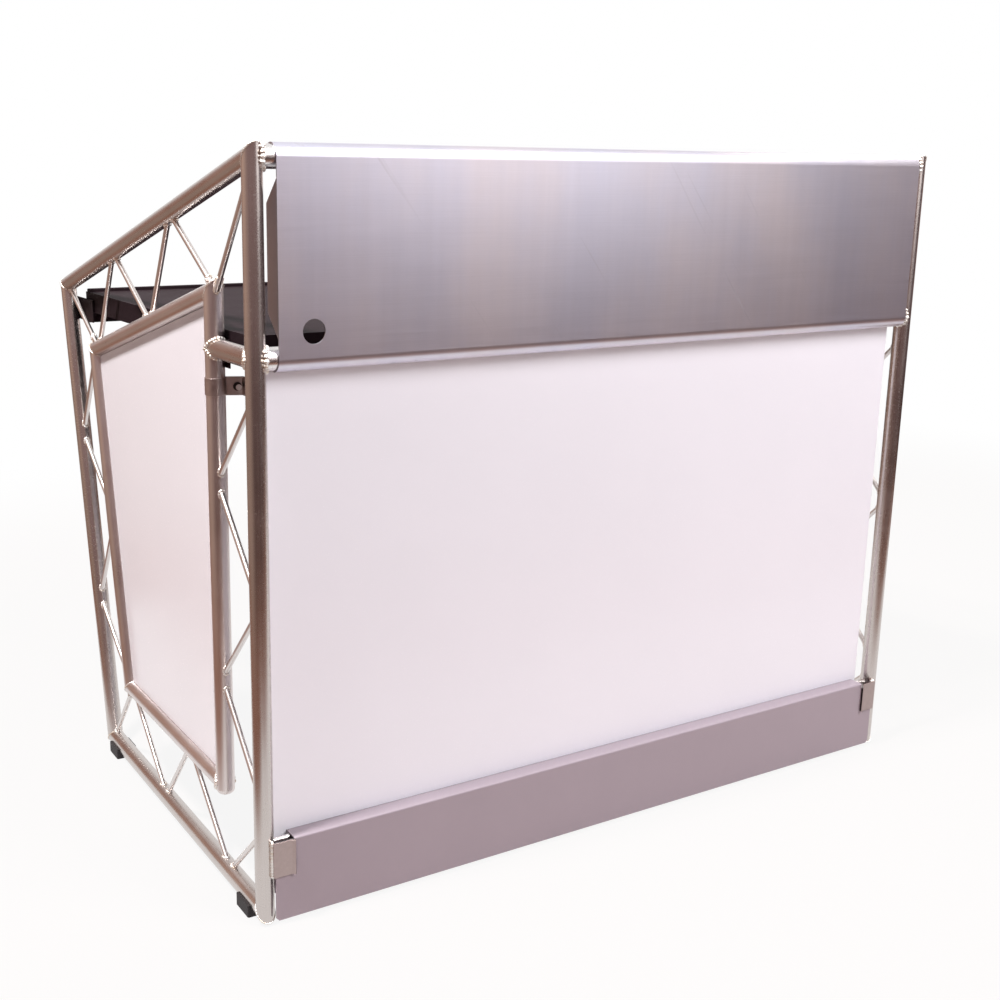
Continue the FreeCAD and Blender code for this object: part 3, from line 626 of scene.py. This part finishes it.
class BoothWelds(bpy.types.PropertyGroup):
    """Sizes of the weld beads."""

    rod_bead: FloatProperty(
        name="Rod bead", description="Radius of the bead round a rod's end", unit="LENGTH",
        default=0.0023, min=0.0005, max=0.004)
    tube_bead: FloatProperty(
        name="Tube bead", description="Radius of the bead round a butted tube's end", unit="LENGTH",
        default=0.0038, min=0.0005, max=0.006)
    mitre_bead: FloatProperty(
        name="Mitre bead", description="Radius of the dressed bead round a mitred corner", unit="LENGTH",
        default=0.0012, min=0.0003, max=0.004)
    pitch: FloatProperty(
        name="Ripple pitch", description="Distance from one ripple of a bead to the next", unit="LENGTH",
        default=0.0048, min=0.001, max=0.01)
    ripple: FloatProperty(
        name="Ripple", description="Height of a ripple as a share of the bead's radius", subtype="FACTOR",
        default=0.14, min=0, max=0.5)


class BoothStage(bpy.types.PropertyGroup):
    """Camera and light of the studio."""

    camera_place: FloatVectorProperty(
        name="Camera", description="Place of the camera", subtype="TRANSLATION", unit="LENGTH",
        default=(-1.3997, -2.1142, 1.1347))
    camera_turn: FloatProperty(
        name="Turn", description="Turn of the camera to the right of straight ahead", subtype="ANGLE",
        default=CAMERA_TURN)
    camera_dip: FloatProperty(
        name="Dip", description="Dip of the camera below the horizon", subtype="ANGLE",
        default=math.radians(13.118))
    camera_roll: FloatProperty(
        name="Roll", description="Roll of the camera about its view", subtype="ANGLE",
        default=math.radians(0.512))
    lens: FloatProperty(
        name="Lens", description="Focal length of the camera", subtype="DISTANCE_CAMERA",
        default=46.53, min=10, max=300)
    shift_x: FloatProperty(
        name="Shift across", description="How far the picture is cropped off the lens's centre, across",
        default=0.0919, min=-1, max=1)
    shift_y: FloatProperty(
        name="Shift up", description="How far the picture is cropped off the lens's centre, upwards",
        default=-0.0246, min=-1, max=1)
    floor: FloatVectorProperty(
        name="Floor", description="Colour of the floor", subtype="COLOR",
        default=(0.38, 0.31, 0.29), min=0, max=1)
    boards: FloatVectorProperty(
        name="Boards", description="Colour of the ground past the white floor, as the metal mirrors it",
        subtype="COLOR", default=(0.30, 0.13, 0.08), min=0, max=1)
    dusk: FloatVectorProperty(
        name="Dusk", description="Colour of the ground further off, as the metal mirrors it",
        subtype="COLOR", default=(0.06, 0.027, 0.024), min=0, max=1)
    dark: FloatVectorProperty(
        name="Dark", description="Colour of the room behind the camera, as the metal mirrors it",
        subtype="COLOR", default=(0.32, 0.21, 0.20), min=0, max=1)
    left_wall: FloatVectorProperty(
        name="Left wall", description="Colour of the room to the left, as the metal mirrors it",
        subtype="COLOR", default=(0.66, 0.46, 0.37), min=0, max=1)
    right_wall: FloatVectorProperty(
        name="Right wall", description="Colour of the room to the right, as the metal mirrors it",
        subtype="COLOR", default=(0.15, 0.115, 0.125), min=0, max=1)
    back_wall: FloatVectorProperty(
        name="Back wall", description="Colour of the room beside the backdrop, as the metal mirrors it",
        subtype="COLOR", default=(0.34, 0.175, 0.13), min=0, max=1)
    sky: FloatProperty(
        name="Soft light", description="Level of the even light from all round",
        default=0.06, min=0, max=2)


def metals():
    """The settings of the metal parts."""
    return bpy.context.scene.booth_metals


def paints():
    """The settings of the panels and painted parts."""
    return bpy.context.scene.booth_paints


class BOOTH_OT_side_frames(bpy.types.Operator):
    """Finish the tubes of both side frames with draw lines along each tube"""

    bl_idname = "booth.side_frames"
    bl_label = "Side frame tubes"

    def execute(self, context):
        looks = metals()
        frames = (
            ((*OUTER_TUBES, "spreader"), "outer", looks.tube, looks.tube_roughness),
            (INNER_TUBES, "inner", looks.inner_tube, looks.inner_roughness),
        )
        for nodes, label, colour, roughness in frames:
            for node in nodes:
                way = bars_of("left_" + node)[0].way
                dress(drawn_metal("%s_satin_%s" % (label, node), colour, roughness, way), "{}" + node)
        return {"FINISHED"}


class BOOTH_OT_lacing(bpy.types.Operator):
    """Finish the lacing rods of both side frames"""

    bl_idname = "booth.lacing"
    bl_label = "Lacing rods"

    def execute(self, context):
        material = drawn_metal("rod_satin", metals().rod, 0.30)
        dress(material, *["{}" + node for node in ROD_NODES])
        return {"FINISHED"}


class BOOTH_OT_welds(bpy.types.Operator):
    """Lay a rippled weld bead along each seam of tubes, rods and rail stubs"""

    bl_idname = "booth.welds"
    bl_label = "Weld beads"

    def execute(self, context):
        sizes = context.scene.booth_welds
        material = weld_metal("weld_bright", metals().weld, 0.48)
        for side in SIDES:
            self.rod_welds(side, sizes, material)
            self.tube_welds(side, sizes, material)
            self.stub_welds(side, sizes, material)
            self.holder_welds(side, sizes, material)
        return {"FINISHED"}

    def rod_welds(self, side, sizes, material):
        """Beads round both ends of every lacing rod."""
        tubes = [bars_of(side + "_" + node)[0] for node in OUTER_TUBES + INNER_TUBES]
        mesh = bmesh.new()
        for node in ROD_NODES:
            for rod in bars_of(side + "_" + node):
                for outward in (False, True):
                    line = seam_on_bars(rod, outward, tubes, ROD_SEAM_POINTS)
                    if line is None:
                        raise RuntimeError("a rod of %s ends on no tube" % node)
                    middle = sum(line, Vector()) / len(line)
                    lay_bead(mesh, line, middle, sizes.rod_bead, sizes.ripple, sizes.pitch * ROD_PITCH)
        piece_from(mesh, side + "_rod_welds", "frame", material)

    def tube_welds(self, side, sizes, material):
        """Beads round the mitred corners and the butted tubes."""
        bars = {}
        for node in (*OUTER_TUBES, *INNER_TUBES, "spreader"):
            bars[node] = bars_of(side + "_" + node)[0]
        mesh = bmesh.new()
        for first, second in MITRES:
            line = seam_at_mitre(bars[first], bars[second], TUBE_SEAM_POINTS)
            corner = corner_of(bars[first], bars[second])
            lay_bead(mesh, line, corner, sizes.mitre_bead, sizes.ripple, sizes.pitch)
        for first, second in BUTTED:
            bar = bars[first]
            outward = bars[second].away(bar.end) < bars[second].away(bar.start)
            line = seam_on_bars(bar, outward, [bars[second]], TUBE_SEAM_POINTS)
            if line is None:
                raise RuntimeError("%s does not meet %s" % (first, second))
            middle = sum(line, Vector()) / len(line)
            lay_bead(mesh, line, middle, sizes.tube_bead, sizes.ripple, sizes.pitch)
        piece_from(mesh, side + "_tube_welds", "frame", material)

    def stub_welds(self, side, sizes, material):
        """Beads where the rail stubs' collars sit on the front post."""
        post = bars_of(side + "_front_post")[0]
        inward = X_WAY if side == "left" else -X_WAY
        low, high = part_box("lower_rail")
        radius = (high.z - low.z) / 2
        mesh = bmesh.new()
        for rail in ("top_rail", "lower_rail"):
            low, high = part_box(rail)
            centre = Vector((post.start.x, (low.y + high.y) / 2, (low.z + high.z) / 2))
            line = []
            for step in range(TUBE_SEAM_POINTS):
                turn = 2 * math.pi * step / TUBE_SEAM_POINTS
                offset = (Y_WAY * math.cos(turn) + Z_WAY * math.sin(turn)) * radius
                depth = max(post.radius ** 2 - offset.y ** 2, 0.0)
                reach = max(math.sqrt(depth), post.radius * COLLAR_SINK)
                line.append(centre + offset + inward * reach)
            middle = centre + inward * post.radius
            ripple = sizes.ripple * STUB_RIPPLE
            lay_bead(mesh, line, middle, sizes.tube_bead, ripple, sizes.pitch * STUB_PITCH)
        piece_from(mesh, side + "_stub_welds", "frame", material)

    def holder_welds(self, side, sizes, material):
        """A double bead down the front post, along the side wall of the kickboard's holder."""
        low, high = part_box(side + "_board_holder")
        wall = low.x if side == "left" else high.x
        runs = [high.y - sizes.tube_bead * share for share in HOLDER_RUNS]
        rise = (high.z - low.z) / (HOLDER_SEAM_POINTS - 1)
        heights = [low.z + rise * step for step in range(HOLDER_SEAM_POINTS)]
        down = [Vector((wall, runs[0], height)) for height in reversed(heights)]
        up = [Vector((wall, runs[1], height)) for height in heights]
        line = down + up
        middle = Vector((wall, sum(runs) / 2, (low.z + high.z) / 2))
        mesh = bmesh.new()
        bead = sizes.tube_bead * HOLDER_BEAD
        lay_bead(mesh, line, middle, bead, sizes.ripple * HOLDER_RIPPLE, sizes.pitch)
        piece_from(mesh, side + "_holder_weld", "frame", material)


class BOOTH_OT_rails(bpy.types.Operator):
    """Finish the two cross rails, the stubs they slide over and their snap pins"""

    bl_idname = "booth.rails"
    bl_label = "Rails"

    def execute(self, context):
        looks = metals()
        satin = drawn_metal("rail_satin", looks.rail, 0.26, X_WAY, 0.1)
        dress(satin, "top_rail", "lower_rail", "{}rail_stubs")
        dress(bright_metal("pin_plated", looks.bolt, 0.28), "rail_pins")
        return {"FINISHED"}


class BOOTH_OT_fascia(bpy.types.Operator):
    """Finish the rolled fascia"""

    bl_idname = "booth.fascia"
    bl_label = "Fascia"

    def execute(self, context):
        looks = metals()
        dress(sheet_metal("fascia_sheet", looks.fascia, looks.fascia_roughness), "fascia")
        return {"FINISHED"}


class BOOTH_OT_front_panel(bpy.types.Operator):
    """Finish the bare front panel, its channel and the brackets under it"""

    bl_idname = "booth.front_panel"
    bl_label = "Front panel"

    def execute(self, context):
        looks = metals()
        dress(opal_sheet("front_opal", paints().opal, 0.24), "front_panel")
        dress(drawn_metal("channel_satin", looks.rail, 0.32, X_WAY, 0.1), "panel_channel")
        dress(bright_metal("bracket_plain", looks.fitting, 0.38), "{}panel_bracket")
        return {"FINISHED"}


class BOOTH_OT_side_panels(bpy.types.Operator):
    """Finish the opal side panels and the tabs behind them"""

    bl_idname = "booth.side_panels"
    bl_label = "Side panels"

    def execute(self, context):
        # The side panels' opal is a copy painted darker and warmer for the light on the sides.
        dress(opal_sheet("side_opal", paints().side_opal, 0.2), "{}side_panel")
        dress(bright_metal("tab_plain", metals().fitting, 0.38), "{}side_tabs")
        return {"FINISHED"}


class BOOTH_OT_kickboard(bpy.types.Operator):
    """Finish the kickboard, its holders and its studs"""

    bl_idname = "booth.kickboard"
    bl_label = "Kickboard"

    def execute(self, context):
        # The kickboard's paint has painted shade in its crevices, which darkens it beside the holders.
        dress(paint("board_satin", paints().board, 0.5, 700.0, 0.00008, 0.05, crevice=0.004), "kickboard")
        dress(bright_metal("holder_plain", metals().holder, 0.34), "{}board_holder")
        dress(bright_metal("stud_bright", metals().fitting, 0.24), "{}board_stud")
        return {"FINISHED"}


class BOOTH_OT_desk(bpy.types.Operator):
    """Finish the desk tray, its apron, its lip and the brackets that carry it"""

    bl_idname = "booth.desk"
    bl_label = "Desk"

    def execute(self, context):
        colour = paints().desk
        powder = paint("desk_powder", colour, 0.55, 900.0, 0.00014, gloss=0.025)
        dress(powder, "desk_tray", "desk_apron", "desk_lip")
        dress(paint("bracket_powder", colour, 0.5, 900.0, 0.00014, gloss=0.1), "{}desk_brackets")
        return {"FINISHED"}


class BOOTH_OT_clamps(bpy.types.Operator):
    """Finish the strap clamps and all bolts"""

    bl_idname = "booth.clamps"
    bl_label = "Clamps and bolts"

    def execute(self, context):
        looks = metals()
        dress(bright_metal("clamp_plain", looks.clamp, 0.34), "{}clamp")
        dress(bright_metal("bolt_plated", looks.bolt, 0.28), "{}desk_bolts")
        dress(round_bolt("clamp_bolt_plated", looks.weld, 0.3), "{}clamp_bolt")
        return {"FINISHED"}


class BOOTH_OT_feet(bpy.types.Operator):
    """Finish the rubber saddle feet"""

    bl_idname = "booth.feet"
    bl_label = "Feet"

    def execute(self, context):
        dress(paint("foot_rubber", paints().rubber, 0.66, 420.0, 0.0002, 0.25), "{}feet")
        return {"FINISHED"}


class BOOTH_OT_stage(bpy.types.Operator):
    """Set the floor, the studio light, the white surround and the camera"""

    bl_idname = "booth.stage"
    bl_label = "Stage"

    def execute(self, context):
        stage = context.scene.booth_stage
        context.scene.view_settings.view_transform = "Standard"
        self.camera(context, stage)
        self.floor(context, stage)
        self.surround(context, stage)
        for name, settings in LAMPS.items():
            self.lamp(context, name, *settings)
        return {"FINISHED"}

    def camera(self, context, stage):
        """The photograph's point of view, as a camera with a slightly off-centre lens."""
        turn, dip, roll = stage.camera_turn, stage.camera_dip, stage.camera_roll
        ahead = Vector((math.sin(turn) * math.cos(dip), math.cos(turn) * math.cos(dip), -math.sin(dip)))
        level = Vector((math.cos(turn), -math.sin(turn), 0))
        up = level.cross(ahead)
        right = level * math.cos(roll) + up * math.sin(roll)
        up = right.cross(ahead)
        data = bpy.data.cameras.new("camera")
        data.lens = stage.lens
        data.shift_x = stage.shift_x
        data.shift_y = stage.shift_y
        camera = bpy.data.objects.new("camera", data)
        facing = Matrix((right, up, -ahead)).transposed().to_4x4()
        camera.matrix_world = Matrix.Translation(stage.camera_place) @ facing
        context.scene.collection.objects.link(camera)
        context.scene.camera = camera

    def floor(self, context, stage):
        """A wide pale floor that keeps the booth's shadow; metal mirrors the room's ground past it."""
        corners = [(x * FLOOR_HALF, y * FLOOR_HALF, 0) for x, y in ((-1, -1), (1, -1), (1, 1), (-1, 1))]
        data = bpy.data.meshes.new("floor")
        data.from_pydata(corners, [], [(0, 1, 2, 3)])
        finish = Finish("floor_pale", {"Roughness": 0.9})
        finish.set("Base Color", plain(stage.floor))
        from_sheet = finish.vector("ABSOLUTE", finish.vector("SUBTRACT", finish.place, SHEET_MIDDLE))
        clear = finish.vector("MAXIMUM", finish.vector("SUBTRACT", from_sheet, SHEET_HALF), (0.0, 0.0, 0.0))
        away = finish.vector("LENGTH", clear, output=1)
        camera, glossy = self.rays(finish)
        way = finish.vector("NORMALIZE", finish.place)
        across = finish.vector("DOT_PRODUCT", way, LEFT_WAY, output=1)
        dusk = finish.mix(finish.step(across, 0.3, 0.9), plain(stage.dusk), shade(stage.left_wall, 0.55))
        # Going out from the white part: boards, then dusk, then the walls of the room
        mirrored = finish.mix(finish.step(away, 0.0, 0.3), WHITE, plain(stage.boards))
        mirrored = finish.mix(finish.step(away, 0.5, 1.4), mirrored, dusk)
        mirrored = finish.mix(finish.step(away, 1.5, 17.0), mirrored, self.room(finish, way, stage))
        colour = finish.mix(glossy, WHITE, mirrored)
        glow = finish.node("ShaderNodeEmission", sockets={"Color": colour})
        clean = FLOOR_GLOW + finish.step(away, 0.5, 2.0) * (1 - FLOOR_GLOW)
        share = camera * clean + glossy * FLOOR_MIRRORED
        lit = Value(finish, finish.principled.outputs[0])
        mixed = finish.node("ShaderNodeMixShader", sockets={0: share, 1: lit, 2: glow})
        finish.feed(finish.tree.nodes["Material Output"].inputs["Surface"], mixed)
        data.materials.append(finish.material)
        floor = bpy.data.objects.new("floor", data)
        context.scene.collection.objects.link(floor)

    @staticmethod
    def rays(shader):
        """Whether a ray comes from the camera, and whether metal or glass sends it on."""
        path = shader.node("ShaderNodeLightPath").socket.node.outputs
        camera, glossy, clear = [Value(shader, path[name]) for name in RAY_KINDS]
        return camera, glossy.maths("MAXIMUM", glossy, clear)

    @staticmethod
    def room(shader, way, stage):
        """What metal mirrors in a level direction: a dim room, and white straight behind the booth."""
        along = shader.vector("DOT_PRODUCT", way, BACKDROP_WAY, output=1)
        across = shader.vector("DOT_PRODUCT", way, LEFT_WAY, output=1)
        walls = shader.mix(shader.step(across, 0.0, 1.0), plain(stage.right_wall), plain(stage.left_wall))
        sides = shader.mix(shader.step(along, -1.0, 0.0), plain(stage.dark), walls)
        sides = shader.mix(shader.step(along, 0.25, 0.6), sides, plain(stage.back_wall))
        return shader.mix(shader.step(along, 0.70, 0.92), sides, WHITE)

    def surround(self, context, stage):
        """White for the camera, a dim room for the metal to mirror, and even light for the rest."""
        world = bpy.data.worlds.new("studio")
        world.use_nodes = True
        context.scene.world = world
        shader = Shader(world.node_tree)
        camera, glossy = self.rays(shader)
        way = shader.node("ShaderNodeTexCoord", output=0)
        height = shader.vector("DOT_PRODUCT", way, tuple(Z_WAY), output=1)
        room = shader.mix(shader.step(height, 0.4, 0.75), self.room(shader, way, stage), WHITE)
        colour = shader.mix(glossy, WHITE, room)
        background = world.node_tree.nodes["Background"]
        shader.feed(background.inputs["Color"], colour)
        shader.feed(background.inputs["Strength"], stage.sky + (camera + glossy) * (1 - stage.sky))

    def lamp(self, context, name, place, aim, width, height, power, mirrored):
        """A soft box that looks at a point; metal mirrors it unless it only fills the shade."""
        data = bpy.data.lights.new(name, "AREA")
        data.shape = "RECTANGLE"
        data.size = width
        data.size_y = height
        data.energy = power
        lamp = bpy.data.objects.new(name, data)
        lamp.location = place
        lamp.rotation_euler = (Vector(aim) - Vector(place)).to_track_quat("-Z", "Y").to_euler()
        lamp.visible_camera = False
        lamp.visible_glossy = mirrored
        context.scene.collection.objects.link(lamp)


OPERATORS = (
    BOOTH_OT_stage, BOOTH_OT_side_frames, BOOTH_OT_lacing, BOOTH_OT_welds, BOOTH_OT_rails,
    BOOTH_OT_fascia, BOOTH_OT_front_panel, BOOTH_OT_side_panels, BOOTH_OT_kickboard,
    BOOTH_OT_desk, BOOTH_OT_clamps, BOOTH_OT_feet,
)
GROUPS = {
    "booth_metals": BoothMetals, "booth_paints": BoothPaints,
    "booth_welds": BoothWelds, "booth_stage": BoothStage,
}


class BOOTH_PT_panel(bpy.types.Panel):
    """The booth's pieces and their settings"""

    bl_idname = "BOOTH_PT_panel"
    bl_label = "DJ booth"
    bl_space_type = "VIEW_3D"
    bl_region_type = "UI"
    bl_category = "DJ booth"

    def draw(self, context):
        for operator in OPERATORS:
            self.layout.operator(operator.bl_idname)
        for name, kind in GROUPS.items():
            group = self.layout.box()
            for prop in kind.__annotations__:
                group.prop(getattr(context.scene, name), prop)


def register():
    for kind in (*GROUPS.values(), *OPERATORS, BOOTH_PT_panel):
        bpy.utils.register_class(kind)
    for name, kind in GROUPS.items():
        setattr(bpy.types.Scene, name, PointerProperty(type=kind))


def unregister():
    for name in GROUPS:
        delattr(bpy.types.Scene, name)
    for kind in reversed((*GROUPS.values(), *OPERATORS, BOOTH_PT_panel)):
        bpy.utils.unregister_class(kind)


def main():
    register()
    for operator in OPERATORS:
        group, name = operator.bl_idname.split(".")
        getattr(getattr(bpy.ops, group), name)()


if __name__ == "__main__":
    main()
